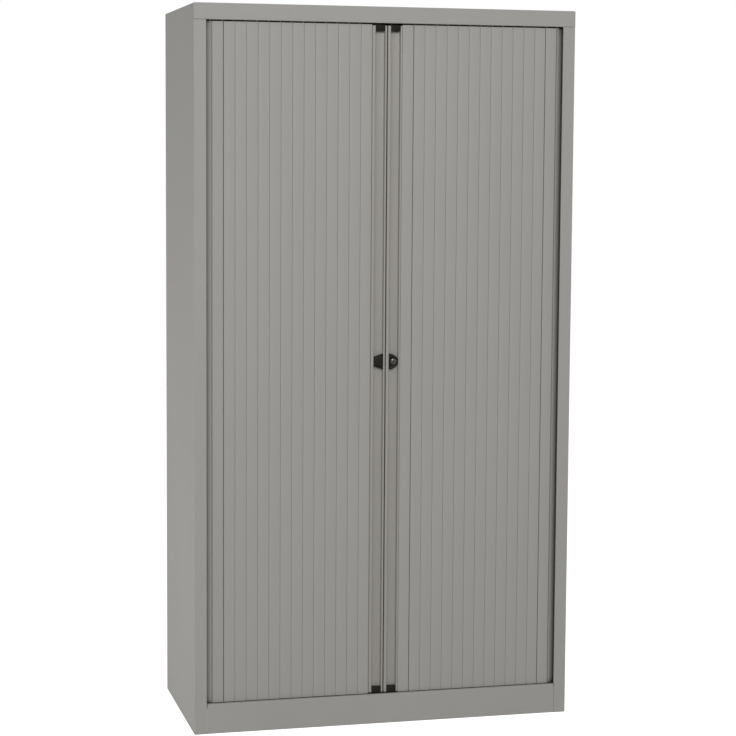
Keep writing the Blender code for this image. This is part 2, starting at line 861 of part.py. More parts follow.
# End caps: a plug in the channel, a plate over the rail's end and a tongue in the track
def end_cap(level, side, name):
    middle = RAIL_X + RAIL_W / 2
    if level == "top":
        sign, rail_end, plate_end, tongue_end = 1, RAIL_Z1, SLAT_Z1, PIN_Z1
    else:
        sign, rail_end, plate_end, tongue_end = -1, RAIL_Z0, SLAT_Z0, PIN_Z0
    front = FRONT_Y + SLAT_FRONT

    def ordered(a, b):
        return (a, b) if a < b else (b, a)

    low, high = span(side, middle - RAIL_W / 2 + CAP_INSET, middle + RAIL_W / 2 - CAP_INSET)
    z0, z1 = ordered(rail_end + sign * FIT, plate_end)
    plate = box(
        f"{level}_cap_{name}", (low, front + CAP_INSET, z0), (high, front + RAIL_D - CAP_INSET, z1), parts
    )
    half = CHANNEL_W / 2 - FIT
    centre = RAIL_X + rail_lips(side)[0] + CHANNEL_W / 2
    tip = rail_end - sign * CAP_H
    root = plate_end - sign * CAP_PLATE / 2
    cut_tip = tip + sign * CAP_CHAMFER
    if side * sign > 0:
        end = [(centre - half, tip), (centre + half - CAP_CHAMFER, tip), (centre + half, cut_tip)]
    else:
        end = [(centre - half, cut_tip), (centre - half + CAP_CHAMFER, tip), (centre + half, tip)]
    outline = [(centre - half, root)] + end + [(centre + half, root)]
    if sign < 0:
        outline.reverse()
    deep = CHANNEL_D - FIT - CAP_INSET
    plug = extruded(
        f"{level}_plug_{name}",
        sided(outline, side),
        deep,
        helpers,
        (0.0, front + CAP_INSET + deep / 2, 0.0),
        FACE_TURN,
    )
    join(plate, plug)
    low, high = span(side, middle - CAP_TONGUE_W / 2, middle + CAP_TONGUE_W / 2)
    z0, z1 = ordered(plate_end - sign * CAP_PLATE / 2, tongue_end)
    y = FRONT_Y + TRACK_Y
    tongue = box(f"{level}_tongue_{name}", (low, y - BEAD_R, z0), (high, y + BEAD_R, z1), helpers)
    join(plate, tongue)
    return look(plate, BLACK)


def housing_solid(name, outline, side):
    """A boss in the finger channel with softened front edges."""
    deep = HOUSING_PROUD + CHANNEL_D - FIT
    front = FRONT_Y + SLAT_FRONT - HOUSING_PROUD
    boss = extruded(
        name, sided(outline, side), deep, parts, (0.0, front + deep / 2, LOCK_Z), FACE_TURN
    )
    edge = boss.modifiers.new("edges", "BEVEL")
    edge.width = HOUSING_BEVEL
    edge.segments = 2
    edge.limit_method = "ANGLE"
    edge.angle_limit = math.radians(50)
    return boss


# Lock housing: half-round boss on the right rail
def lock_housing():
    near = RAIL_X + LEFT_LIP_W + FIT
    wide = CHANNEL_W - 2 * FIT
    half = HOUSING_H / 2
    outline = [(near, -half)]
    for x, z in arc((0.0, 0.0), 1.0, -math.pi / 2, math.pi / 2, HOUSING_STEPS)[1:-1]:
        outline.append((near + wide * x, half * z))
    outline.append((near, half))
    boss = housing_solid("lock_housing", outline, 1)
    bore = cylinder(
        "barrel_bore",
        BARREL_R + FIT,
        4 * CHANNEL_D,
        BARREL_SIDES,
        helpers,
        (BARREL_X, FRONT_Y + SLAT_FRONT, LOCK_Z),
        FACE_TURN,
    )
    cut(boss, bore)
    return look(boss, BLACK)


# Keeper housing: tapered boss on the left rail
def keeper_housing():
    near = RAIL_X + RIGHT_LIP_W + FIT
    far = RAIL_X + RAIL_W - LEFT_LIP_W - FIT
    outline = [
        (near, -HOUSING_H / 2),
        (far, -KEEPER_SHORT_H / 2),
        (far, KEEPER_SHORT_H / 2),
        (near, HOUSING_H / 2),
    ]
    return look(housing_solid("keeper_housing", outline, -1), BLACK)


# Lock barrel: a round face with a key slot and a shank through the rail
def lock_barrel():
    front = FRONT_Y + SLAT_FRONT - BARREL_PROUD
    face_end = FRONT_Y + SLAT_FRONT + CHANNEL_D - FIT
    shank_end = FRONT_Y + HOOK_D0 + HOOK_T + SHANK_END
    barrel = cylinder(
        "lock_barrel",
        BARREL_R,
        face_end - front,
        BARREL_SIDES,
        parts,
        (BARREL_X, (front + face_end) / 2, LOCK_Z),
        FACE_TURN,
    )
    middle = (front + face_end) / 2
    shank = cylinder(
        "shank",
        SHANK_R,
        shank_end - middle,
        BARREL_SIDES,
        helpers,
        (BARREL_X, (middle + shank_end) / 2, LOCK_Z),
        FACE_TURN,
    )
    join(barrel, shank)
    keyhole = box(
        "keyhole",
        (BARREL_X - KEYHOLE_W / 2, front - OVERRUN, LOCK_Z - KEYHOLE_H / 2),
        (BARREL_X + KEYHOLE_W / 2, front + KEYHOLE_D, LOCK_Z + KEYHOLE_H / 2),
        helpers,
    )
    cut(barrel, keyhole)
    return look(barrel, CHROME)


# Hook bolt: turns with the barrel and swings through both rails' slots
def hook_bolt():
    # The head's arc runs over the top from the arm's right edge to its left edge.
    arm = HOOK_ARM_W / 2
    right_edge = -math.pi / 2 + math.asin(arm / HOOK_HEAD_R)
    left_edge = math.pi - right_edge
    head = arc((0.0, 0.0), HOOK_HEAD_R, right_edge, left_edge, HOOK_STEPS)
    outline = head + [
        (-arm, -HOOK_REACH + HOOK_NOSE_W),
        (-arm - HOOK_NOSE_H, -HOOK_REACH + HOOK_NOSE_W),
        (-arm - HOOK_NOSE_H, -HOOK_REACH),
        (arm, -HOOK_REACH),
    ]
    middle = FRONT_Y + HOOK_D0 + HOOK_T / 2
    hook = extruded(
        "hook_bolt", outline, HOOK_T, parts, (BARREL_X, middle, LOCK_Z), FACE_TURN
    )
    bore = cylinder(
        "hook_bore",
        SHANK_R + FIT,
        4 * HOOK_T,
        BARREL_SIDES,
        helpers,
        (BARREL_X, middle, LOCK_Z),
        FACE_TURN,
    )
    cut(hook, bore)
    return look(hook, ZINC)


def shaded(obj):
    obj.data.shade_smooth()
    obj.data.set_sharp_from_angle(angle=math.radians(35))


top_panel()
base()
back_panel()
for place in foot_places():
    foot(*place)
for hand, hand_name in ((-1, "left"), (1, "right")):
    side_panel(hand, hand_name)
    liner(hand, hand_name)
    track("top", hand, hand_name)
    track("floor", hand, hand_name)
    slats(hand, hand_name)
    lead_rail(hand, hand_name)
    end_cap("top", hand, hand_name)
    end_cap("floor", hand, hand_name)
for shelf_number in range(1, SHELVES + 1):
    shelf(shelf_number)
lock_housing()
keeper_housing()
lock_barrel()
hook_bolt()
for piece in parts.objects:
    shaded(piece)

print("pitch", round(PITCH, 6), "travel", round(RAIL_TRAVEL, 6))
print("tail tilt and turn", round(math.degrees(TAIL_TILT), 3), round(math.degrees(TAIL_TURN), 3))
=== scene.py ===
import math

import bmesh
import bpy
from mathutils import Matrix, Vector


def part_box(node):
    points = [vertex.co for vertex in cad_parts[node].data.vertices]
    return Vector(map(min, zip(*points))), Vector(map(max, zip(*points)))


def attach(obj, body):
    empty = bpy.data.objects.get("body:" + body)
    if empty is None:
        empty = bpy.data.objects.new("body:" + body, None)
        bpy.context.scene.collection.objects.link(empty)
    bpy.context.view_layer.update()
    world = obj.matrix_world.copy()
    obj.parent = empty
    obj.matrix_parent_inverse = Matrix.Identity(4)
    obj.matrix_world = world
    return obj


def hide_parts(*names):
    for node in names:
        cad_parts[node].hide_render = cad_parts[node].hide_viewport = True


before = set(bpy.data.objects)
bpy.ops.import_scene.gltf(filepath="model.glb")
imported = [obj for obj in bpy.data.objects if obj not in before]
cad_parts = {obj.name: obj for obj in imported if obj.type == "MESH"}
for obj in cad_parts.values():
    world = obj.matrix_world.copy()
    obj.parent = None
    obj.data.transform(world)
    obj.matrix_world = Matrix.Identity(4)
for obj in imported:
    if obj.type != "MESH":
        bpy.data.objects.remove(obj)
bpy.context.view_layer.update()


# Camera: a long lens in front of the cabinet and to its left, a little below its top.
# It is tilted down a little, and its frame moved down by a thirtieth of its width.
EYE = Vector((-1.335, -5.3477, 1.4934))
TURN, TILT, LEAN = 0.2464, -0.0943, 0.0064
ahead = Vector((math.sin(TURN) * math.cos(TILT), math.cos(TURN) * math.cos(TILT), math.sin(TILT)))
level = Vector((math.cos(TURN), -math.sin(TURN), 0.0))
upright = level.cross(ahead)
across = math.cos(LEAN) * level + math.sin(LEAN) * upright
above = -math.sin(LEAN) * level + math.cos(LEAN) * upright
view = bpy.data.cameras.new("camera")
view.lens = 100.897
view.sensor_width = 36.0
view.shift_y = -0.0312
view.clip_end = 60.0
camera = bpy.data.objects.new("camera", view)
camera.matrix_world = Matrix.Translation(EYE) @ Matrix((across, above, -ahead)).transposed().to_4x4()
bpy.context.scene.collection.objects.link(camera)
bpy.context.scene.camera = camera


# Studio: a pale floor that runs out of the picture, under a plain white surround.
# It shows pure white behind the cabinet and keeps the soft shadow at its foot.
FLOOR_SPAN = 24.0
FLOOR_TONE = (0.92, 0.92, 0.92, 1.0)
SURROUND_TONE = (1.0, 1.0, 1.0, 1.0)
FLOOR_GLOW = 0.74
SURROUND_LIGHT = 0.34


def add(tree, kind, inputs=None, **settings):
    """A node in this tree. Each input is a value, or another node's output to link to it."""
    made = tree.nodes.new(kind)
    for key, value in settings.items():
        setattr(made, key, value)
    for key, value in (inputs or {}).items():
        if isinstance(value, bpy.types.NodeSocket):
            tree.links.new(value, made.inputs[key])
        else:
            made.inputs[key].default_value = value
    return made


floor_mesh = bmesh.new()
bmesh.ops.create_grid(floor_mesh, x_segments=1, y_segments=1, size=FLOOR_SPAN / 2)
floor_data = bpy.data.meshes.new("studio_floor")
floor_mesh.to_mesh(floor_data)
floor_mesh.free()
floor = bpy.data.objects.new("studio_floor", floor_data)
bpy.context.scene.collection.objects.link(floor)
floor_paint = bpy.data.materials.new("studio_floor")
floor_paint.use_nodes = True
tree = floor_paint.node_tree
tree.nodes.clear()
seen = add(tree, "ShaderNodeLightPath")
glow = add(tree, "ShaderNodeMath", {0: seen.outputs["Is Camera Ray"], 1: FLOOR_GLOW}, operation="MULTIPLY")
matt = add(tree, "ShaderNodeBsdfDiffuse", {"Color": FLOOR_TONE})
shine = add(tree, "ShaderNodeEmission", {"Strength": glow.outputs[0]})
both = add(tree, "ShaderNodeAddShader", {0: matt.outputs[0], 1: shine.outputs[0]})
add(tree, "ShaderNodeOutputMaterial", {"Surface": both.outputs[0]})
floor_data.materials.append(floor_paint)

surround = bpy.data.worlds.new("surround")
surround.use_nodes = True
tree = surround.node_tree
tree.nodes.clear()
seen = add(tree, "ShaderNodeLightPath")
either = add(
    tree, "ShaderNodeMath", {0: seen.outputs["Is Camera Ray"], 1: seen.outputs["Is Glossy Ray"]}, operation="MAXIMUM"
)
any_clear = add(
    tree, "ShaderNodeMath", {0: either.outputs[0], 1: seen.outputs["Is Transmission Ray"]}, operation="MAXIMUM"
)
strength = add(
    tree, "ShaderNodeMapRange", {"Value": any_clear.outputs[0], "To Min": SURROUND_LIGHT, "To Max": 1.0}
)
sky = add(tree, "ShaderNodeBackground", {"Color": SURROUND_TONE, "Strength": strength.outputs[0]})
add(tree, "ShaderNodeOutputWorld", {"Surface": sky.outputs[0]})
bpy.context.scene.world = surround
bpy.context.scene.view_settings.view_transform = "Standard"


# Lamps: a wide soft bank high in front, and a small soft box low beside the left side.
# The first gives the soft shadows under the top rail and the lock.
def soft_box(name, place, aim, wide, tall, power):
    """A rectangular lamp at this place, facing the point aimed at."""
    lamp = bpy.data.lights.new(name, "AREA")
    lamp.shape = "RECTANGLE"
    lamp.size = wide
    lamp.size_y = tall
    lamp.energy = power
    lamp_object = bpy.data.objects.new(name, lamp)
    facing = (Vector(aim) - Vector(place)).to_track_quat("-Z", "Y")
    lamp_object.matrix_world = Matrix.Translation(Vector(place)) @ facing.to_matrix().to_4x4()
    bpy.context.scene.collection.objects.link(lamp_object)


soft_box("high_front", (-1.2, -7.6, 4.2), (0.0, -0.2, 1.0), 5.0, 2.4, 352.0)
soft_box("low_left", (-1.9, 0.1, 0.5), (-0.5, 0.0, 0.4), 0.9, 0.9, 8.4)


# Carcase: lid, sides, base and back are 1 mm steel sheet, cut and folded on a brake.
# They are finished in a fine-texture warm grey powder coat, baked on, inside and out.
COAT_LIGHT = (0.325, 0.316, 0.298, 1.0)
COAT_DARK = (0.303, 0.294, 0.277, 1.0)
COAT_RUBBED = (0.37, 0.362, 0.346, 1.0)
COAT_DUST = (0.40, 0.39, 0.37, 1.0)
COAT_ROUGH = (0.52, 0.66)
COAT_GRAIN = 0.00006
COAT_SHINE = 0.35
FOLD_RADIUS = 0.0013


def effect(name, inputs, outputs):
    """A new group of nodes with these named inputs and outputs: the group, its inputs and its end."""
    group = bpy.data.node_groups.new(name, "ShaderNodeTree")
    for label, value in inputs.items():
        group.interface.new_socket(name=label, in_out="INPUT", socket_type="NodeSocketFloat").default_value = value
    for label in outputs:
        group.interface.new_socket(name=label, in_out="OUTPUT", socket_type="NodeSocketFloat")
    return group, group.nodes.new("NodeGroupInput").outputs, group.nodes.new("NodeGroupOutput").inputs


def placed(tree, group, inputs=None):
    """The outputs of one of the effect groups, placed in this tree."""
    made = tree.nodes.new("ShaderNodeGroup")
    made.node_tree = group
    for key, value in (inputs or {}).items():
        made.inputs[key].default_value = value
    return made.outputs


# Fine grain: the small orange peel of a textured coat, and the fleck that goes with it.
fine_grain, given, result = effect("fine_grain", {"Per metre": 800.0}, ("Height", "Fleck"))
where = add(fine_grain, "ShaderNodeTexCoord").outputs["Object"]
peel = add(
    fine_grain, "ShaderNodeTexNoise",
    {"Vector": where, "Scale": given["Per metre"], "Detail": 3.0, "Roughness": 0.6},
)
coarse = add(fine_grain, "ShaderNodeMath", {0: given["Per metre"], 1: 0.32}, operation="MULTIPLY")
fleck = add(
    fine_grain, "ShaderNodeTexNoise",
    {"Vector": where, "Scale": coarse.outputs[0], "Detail": 4.0, "Roughness": 0.7},
)
fine_grain.links.new(peel.outputs["Fac"], result["Height"])
fine_grain.links.new(fleck.outputs["Fac"], result["Fleck"])

# Slow tone: the faint broad unevenness of a sprayed or extruded surface.
slow_tone, given, result = effect("slow_tone", {"Per metre": 2.4}, ("Tone",))
where = add(slow_tone, "ShaderNodeTexCoord").outputs["Object"]
cloud = add(
    slow_tone, "ShaderNodeTexNoise",
    {"Vector": where, "Scale": given["Per metre"], "Detail": 4.0, "Roughness": 0.55},
)
spread = add(slow_tone, "ShaderNodeMapRange", {"Value": cloud.outputs["Fac"], "From Min": 0.3, "From Max": 0.7})
slow_tone.links.new(spread.outputs[0], result["Tone"])

# Edge rub: edges that hands and cloths have polished a little paler.
edge_rub, given, result = effect("edge_rub", {"Radius": 0.0012, "Patch per metre": 60.0}, ("Rub",))
shape = add(edge_rub, "ShaderNodeNewGeometry")
round_off = add(edge_rub, "ShaderNodeBevel", {"Radius": given["Radius"]}, samples=4)
same = add(
    edge_rub, "ShaderNodeVectorMath",
    {0: round_off.outputs[0], 1: shape.outputs["True Normal"]},
    operation="DOT_PRODUCT",
)
edge = add(
    edge_rub, "ShaderNodeMapRange", {"Value": same.outputs["Value"], "From Min": 0.985, "From Max": 0.86}
)
where = add(edge_rub, "ShaderNodeTexCoord").outputs["Object"]
patch = add(edge_rub, "ShaderNodeTexNoise", {"Vector": where, "Scale": given["Patch per metre"], "Detail": 3.0})
broken = add(
    edge_rub, "ShaderNodeMapRange", {"Value": patch.outputs["Fac"], "From Min": 0.35, "From Max": 0.75}
)
worn = add(edge_rub, "ShaderNodeMath", {0: edge.outputs[0], 1: broken.outputs[0]}, operation="MULTIPLY")
edge_rub.links.new(worn.outputs[0], result["Rub"])

# Settled dust: on faces that look up, and in the last few centimetres above the floor.
settled_dust, given, result = effect("settled_dust", {"Reach": 0.07}, ("Dust",))
shape = add(settled_dust, "ShaderNodeNewGeometry")
faced = add(settled_dust, "ShaderNodeSeparateXYZ", {0: shape.outputs["Normal"]})
upward = add(
    settled_dust, "ShaderNodeMapRange", {"Value": faced.outputs["Z"], "From Min": 0.6, "From Max": 1.0}
)
where = add(settled_dust, "ShaderNodeTexCoord").outputs["Object"]
raised = add(settled_dust, "ShaderNodeSeparateXYZ", {0: where})
low_down = add(
    settled_dust, "ShaderNodeMapRange",
    {"Value": raised.outputs["Z"], "From Min": given["Reach"], "From Max": 0.0},
)
low_faint = add(settled_dust, "ShaderNodeMath", {0: low_down.outputs[0], 1: 0.45}, operation="MULTIPLY")
most = add(settled_dust, "ShaderNodeMath", {0: upward.outputs[0], 1: low_faint.outputs[0]}, operation="MAXIMUM")
drift = add(
    settled_dust, "ShaderNodeTexNoise", {"Vector": where, "Scale": 14.0, "Detail": 6.0, "Roughness": 0.7}
)
drifted = add(
    settled_dust, "ShaderNodeMapRange", {"Value": drift.outputs["Fac"], "From Min": 0.35, "From Max": 0.7}
)
dusty = add(settled_dust, "ShaderNodeMath", {0: most.outputs[0], 1: drifted.outputs[0]}, operation="MULTIPLY")
settled_dust.links.new(dusty.outputs[0], result["Dust"])


def finish_named(name, **sockets):
    """A material with one Principled shader set like this: the material, its tree and the shader's inputs."""
    made = bpy.data.materials.new(name)
    made.use_nodes = True
    made.node_tree.nodes.clear()
    shader = add(made.node_tree, "ShaderNodeBsdfPrincipled", sockets)
    add(made.node_tree, "ShaderNodeOutputMaterial", {"Surface": shader.outputs[0]})
    return made, made.node_tree, shader.inputs


def colour_mix(tree, amount, first, second):
    """One colour moving into another by this amount. Either may be the output of a node."""
    made = tree.nodes.new("ShaderNodeMix")
    made.data_type = "RGBA"
    for index, value in ((0, amount), (6, first), (7, second)):
        if isinstance(value, bpy.types.NodeSocket):
            tree.links.new(value, made.inputs[index])
        else:
            made.inputs[index].default_value = value
    return made.outputs[2]


def scaled(tree, value, low, high):
    """A value of 0 to 1 spread over another range."""
    return add(tree, "ShaderNodeMapRange", {"Value": value, "To Min": low, "To Max": high}).outputs[0]


powder_coat, tree, shader = finish_named("powder_coat", **{"Specular IOR Level": COAT_SHINE})
grain = placed(tree, fine_grain)
tone = placed(tree, slow_tone)["Tone"]
flecked = add(tree, "ShaderNodeMath", {0: tone, 1: grain["Fleck"]}, operation="ADD")
halved = add(tree, "ShaderNodeMath", {0: flecked.outputs[0], 1: 0.5}, operation="MULTIPLY")
colour = colour_mix(tree, halved.outputs[0], COAT_DARK, COAT_LIGHT)
colour = colour_mix(tree, scaled(tree, placed(tree, edge_rub)["Rub"], 0.0, 0.5), colour, COAT_RUBBED)
colour = colour_mix(tree, scaled(tree, placed(tree, settled_dust)["Dust"], 0.0, 0.35), colour, COAT_DUST)
tree.links.new(colour, shader["Base Color"])
tree.links.new(scaled(tree, grain["Fleck"], *COAT_ROUGH), shader["Roughness"])
folded = add(tree, "ShaderNodeBevel", {"Radius": FOLD_RADIUS}, samples=6)
raised = add(
    tree, "ShaderNodeBump",
    {"Height": grain["Height"], "Strength": 0.5, "Distance": COAT_GRAIN, "Normal": folded.outputs[0]},
)
tree.links.new(raised.outputs[0], shader["Normal"])


def finished(material, *names):
    """Gives these CAD nodes their material."""
    for name in names:
        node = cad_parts[name]
        for place in node.material_slots:
            place.material = material


finished(powder_coat, "top_panel", "base", "side_panel_left", "side_panel_right", "back_panel")


# Back panel screws: flat-topped steel self-tappers, zinc plated.
# They hold the flat back sheet to the sides' folded returns, evenly spaced.
SCREW_HEAD_R = 0.0034
SCREW_HEAD_H = 0.0012
SCREW_INSET = 0.024
SCREW_MARGIN = 0.03
SCREW_ROWS = 7
SCREW_STEPS = 20
ZINC_LIGHT = (0.62, 0.63, 0.63, 1.0)
ZINC_DARK = (0.42, 0.43, 0.44, 1.0)
SHARP_FROM = math.radians(35)
SPUN_WELD = 0.000001


def grained(name, dark, light, tone_scale, grain_scale, rough, strength, deep, **sockets):
    """A material of one mottled colour with a fine grain: scales are per metre, and the grain is this deep."""
    made, tree, shader = finish_named(name, **sockets)
    grain = placed(tree, fine_grain, {"Per metre": grain_scale})
    tone = placed(tree, slow_tone, {"Per metre": tone_scale})["Tone"]
    tree.links.new(colour_mix(tree, tone, dark, light), shader["Base Color"])
    tree.links.new(scaled(tree, grain["Fleck"], *rough), shader["Roughness"])
    raised = add(tree, "ShaderNodeBump", {"Height": grain["Height"], "Strength": strength, "Distance": deep})
    tree.links.new(raised.outputs[0], shader["Normal"])
    return made


zinc_plate = grained(
    "zinc_plate", ZINC_DARK, ZINC_LIGHT, tone_scale=90.0, grain_scale=1500.0,
    rough=(0.28, 0.5), strength=0.35, deep=0.00003, Metallic=1.0,
)


def object_of(name, shape, material):
    """Makes the finished object from a bmesh, with faces pointing outwards and its sharp edges kept."""
    bmesh.ops.recalc_face_normals(shape, faces=shape.faces)
    data = bpy.data.meshes.new(name)
    for face in shape.faces:
        face.smooth = True
    for edge in shape.edges:
        edge.smooth = len(edge.link_faces) == 2 and edge.calc_face_angle(0.0) < SHARP_FROM
    shape.to_mesh(data)
    shape.free()
    data.materials.append(material)
    made = bpy.data.objects.new(name, data)
    bpy.context.scene.collection.objects.link(made)
    return made


def turned(shape, outline, axis_at, along, steps):
    """Spins a profile of (along, radius) points into a closed round piece about an axis through this point."""
    side = along.orthogonal().normalized()
    points = [shape.verts.new(axis_at + along * a + side * r) for a, r in outline]
    lines = [shape.edges.new(pair) for pair in zip(points, points[1:])]
    bmesh.ops.spin(
        shape, geom=points + lines, cent=axis_at, axis=along, angle=math.tau, steps=steps, use_merge=True
    )
    bmesh.ops.remove_doubles(shape, verts=shape.verts, dist=SPUN_WELD)


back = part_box("back_panel")
screws = bmesh.new()
outward = Vector((0.0, 1.0, 0.0))
for side in (-1, 1):
    for row in range(SCREW_ROWS):
        run = back[1].z - back[0].z - 2 * SCREW_MARGIN
        high = back[0].z + SCREW_MARGIN + run * row / (SCREW_ROWS - 1)
        one = bmesh.new()
        centre = Vector((side * (back[1].x - SCREW_INSET), back[1].y, high))
        head = [
            (0.0, 0.0), (0.0, SCREW_HEAD_R), (SCREW_HEAD_H * 0.5, SCREW_HEAD_R * 0.97),
            (SCREW_HEAD_H, SCREW_HEAD_R * 0.72), (SCREW_HEAD_H, 0.0),
        ]
        turned(one, head, centre, outward, SCREW_STEPS)
        bmesh.ops.recalc_face_normals(one, faces=one.faces)
        spare = bpy.data.meshes.new("screw")
        one.to_mesh(spare)
        one.free()
        screws.from_mesh(spare)
        bpy.data.meshes.remove(spare)
back_screws = object_of("back_screws", screws, zinc_plate)
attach(back_screws, "cabinet")


# Liners and shelves: thinner sheet in the same coat, slotted and folded.
# The liners hide the stored shutters and the shelves hook into their slots.
finished(powder_coat, "liner_left", "liner_right", "shelf_1", "shelf_2", "shelf_3", "shelf_4")


# Slats: extruded rigid plastic, each hooked to the next by a bead in a socket.
# The faces carry faint lines from the die and match the carcase in colour.
SLAT_LIGHT = (0.322, 0.313, 0.296, 1.0)
SLAT_DARK = (0.300, 0.291, 0.274, 1.0)
SLAT_RUBBED = (0.36, 0.352, 0.336, 1.0)
SLAT_GROOVE = 0.00003
# Painted shade: a near-black laid into the slats' joints and gaps, reaching farther and darker on the corner slats.
SLAT_PAINTED_SHADE = (0.035, 0.032, 0.027, 1.0)
# How far and how dark the painted shade reaches on the two corner slats.
CORNER_PAINTED_SHADE = {"Reach": 0.030, "Least": 0.74, "Most": 0.42}
FACE_CORNER = 0.0019
NEAR_CORNER = 0.0011
FAR_CORNER = 0.0006
CORNERS_BACK = {
    "left": {1: (0.0008, 0.0), 13: (0.0, 0.0006), 14: (0.0006, 0.0012)},
    "right": {1: (0.0, 0.0005), 2: (0.0005, 0.0), 13: (0.0, 0.0006), 14: (0.0006, 0.0008)},
}
WELD = 0.00001
FLAT_BELOW = math.radians(1)

# Drawn lines: marks that run the whole height of an extruded section.
drawn_lines, given, result = effect("drawn_lines", {"Per metre": 600.0}, ("Line", "Height"))
where = add(drawn_lines, "ShaderNodeTexCoord").outputs["Object"]
stretched = add(drawn_lines, "ShaderNodeVectorMath", {0: where, 1: (1.0, 1.0, 0.004)}, operation="MULTIPLY")
lines = add(
    drawn_lines, "ShaderNodeTexNoise",
    {"Vector": stretched.outputs[0], "Scale": given["Per metre"], "Detail": 3.0, "Roughness": 0.6},
)
drawn_lines.links.new(lines.outputs["Fac"], result["Line"])
drawn_lines.links.new(lines.outputs["Fac"], result["Height"])

# Painted joint shade: the colour darkened where ambient occlusion finds the surface shut in, down in joints and
# gaps, standing in for the shade there.
joint_painted_shade, given, result = effect("joint_painted_shade", {"Reach": 0.004, "Least": 0.55, "Most": 0.15}, ("Painted shade",))
shut_in = add(joint_painted_shade, "ShaderNodeAmbientOcclusion", {"Distance": given["Reach"]}, samples=8)
deep = add(
    joint_painted_shade, "ShaderNodeMapRange",
    {"Value": shut_in.outputs["AO"], "From Min": given["Least"], "From Max": given["Most"]},
)
joint_painted_shade.links.new(deep.outputs[0], result["Painted shade"])

slat_finish, tree, shader = finish_named("slat_plastic", **{"Specular IOR Level": 0.35})
grain = placed(tree, fine_grain, {"Per metre": 900.0})
tone = placed(tree, slow_tone, {"Per metre": 3.0})["Tone"]
line = placed(tree, drawn_lines)
lined = add(tree, "ShaderNodeMath", {0: line["Line"], 1: grain["Fleck"]}, operation="ADD")
lined = add(tree, "ShaderNodeMath", {0: lined.outputs[0], 1: tone}, operation="ADD")
lined = add(tree, "ShaderNodeMath", {0: lined.outputs[0], 1: 0.3333}, operation="MULTIPLY")
colour = colour_mix(tree, lined.outputs[0], SLAT_DARK, SLAT_LIGHT)
colour = colour_mix(
    tree, scaled(tree, placed(tree, edge_rub, {"Radius": 0.0006})["Rub"], 0.0, 0.35), colour, SLAT_RUBBED
)
# Painted shade: the slat colour goes near-black where its joints and gaps shut it in.
colour = colour_mix(tree, placed(tree, joint_painted_shade)["Painted shade"], colour, SLAT_PAINTED_SHADE)
tree.links.new(colour, shader["Base Color"])
tree.links.new(scaled(tree, grain["Fleck"], 0.48, 0.62), shader["Roughness"])
uneven = add(tree, "ShaderNodeMath", {0: line["Height"], 1: grain["Height"]}, operation="ADD")
raised = add(tree, "ShaderNodeBump", {"Height": uneven.outputs[0], "Strength": 0.45, "Distance": SLAT_GROOVE})
tree.links.new(raised.outputs[0], shader["Normal"])
finished(slat_finish, *[f"slat_{side}_{number:02d}" for side in ("left", "right") for number in range(1, 15)])

# The last slat of each shutter stands in the corner, where the painted shade reaches farthest and is darkest.
corner_finish = slat_finish.copy()
corner_finish.name = "slat_plastic_corner"
for node in corner_finish.node_tree.nodes:
    if node.type == "GROUP" and node.node_tree == joint_painted_shade:
        for name, value in CORNER_PAINTED_SHADE.items():
            node.inputs[name].default_value = value
finished(corner_finish, "slat_left_15", "slat_right_15")


def merged_copy(node):
    """A bmesh of a CAD node's shape, with its triangles merged back into flat faces."""
    shape = bmesh.new()
    shape.from_mesh(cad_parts[node].data)
    bmesh.ops.remove_doubles(shape, verts=shape.verts, dist=WELD)
    bmesh.ops.dissolve_limit(shape, angle_limit=FLAT_BELOW, verts=shape.verts, edges=shape.edges)
    return shape


# The joints beside the rails and by the corner stand wider open than the others.
# There the front corners of a slat are taken back, by so much on the near and the far side.
for side, sign in (("left", -1), ("right", 1)):
    for number, (near, far) in CORNERS_BACK[side].items():
        slat = merged_copy(f"slat_{side}_{number:02d}")
        behind_face = min(corner.co.y for corner in slat.verts) + FACE_CORNER
        front = [corner for corner in slat.verts if corner.co.y < behind_face]
        nearest = min(sign * corner.co.x for corner in front)
        farthest = max(sign * corner.co.x for corner in front)
        for corner in front:
            out = sign * corner.co.x
            if out < nearest + NEAR_CORNER:
                corner.co.x += sign * near
            elif out > farthest - FAR_CORNER:
                corner.co.x -= sign * far
        pared = object_of(f"slat_{side}_{number:02d}_pared", slat, slat_finish)
        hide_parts(f"slat_{side}_{number:02d}")
        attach(pared, f"slat_{side}_{number:02d}_body")


# Lead rails: aluminium extrusions with a finger channel, stove enamelled.
# The enamel is a little smoother and warmer than the powder coat beside it.
RAIL_LIGHT = (0.305, 0.293, 0.270, 1.0)
RAIL_DARK = (0.282, 0.270, 0.248, 1.0)
RAIL_BARE = (0.52, 0.51, 0.49, 1.0)
RAIL_WIDE = 0.0378
LEFT_LIP = 0.0078
RIGHT_LIP = 0.0048
LIP_ROUND = 0.0017
LIP_BEND = 0.00095
TALL_EDGE = 0.5

rail_enamel, tree, shader = finish_named("rail_enamel", **{"Specular IOR Level": 0.4})
grain = placed(tree, fine_grain, {"Per metre": 1100.0})
tone = placed(tree, slow_tone, {"Per metre": 4.0})["Tone"]
line = placed(tree, drawn_lines, {"Per metre": 900.0})
lined = add(tree, "ShaderNodeMath", {0: line["Line"], 1: tone}, operation="ADD")
lined = add(tree, "ShaderNodeMath", {0: lined.outputs[0], 1: 0.5}, operation="MULTIPLY")
colour = colour_mix(tree, lined.outputs[0], RAIL_DARK, RAIL_LIGHT)
colour = colour_mix(
    tree, scaled(tree, placed(tree, edge_rub, {"Radius": 0.0008})["Rub"], 0.0, 0.3), colour, RAIL_BARE
)
tree.links.new(colour, shader["Base Color"])
tree.links.new(scaled(tree, grain["Fleck"], 0.38, 0.5), shader["Roughness"])
raised = add(tree, "ShaderNodeBump", {"Height": line["Height"], "Strength": 0.4, "Distance": 0.00003})
tree.links.new(raised.outputs[0], shader["Normal"])


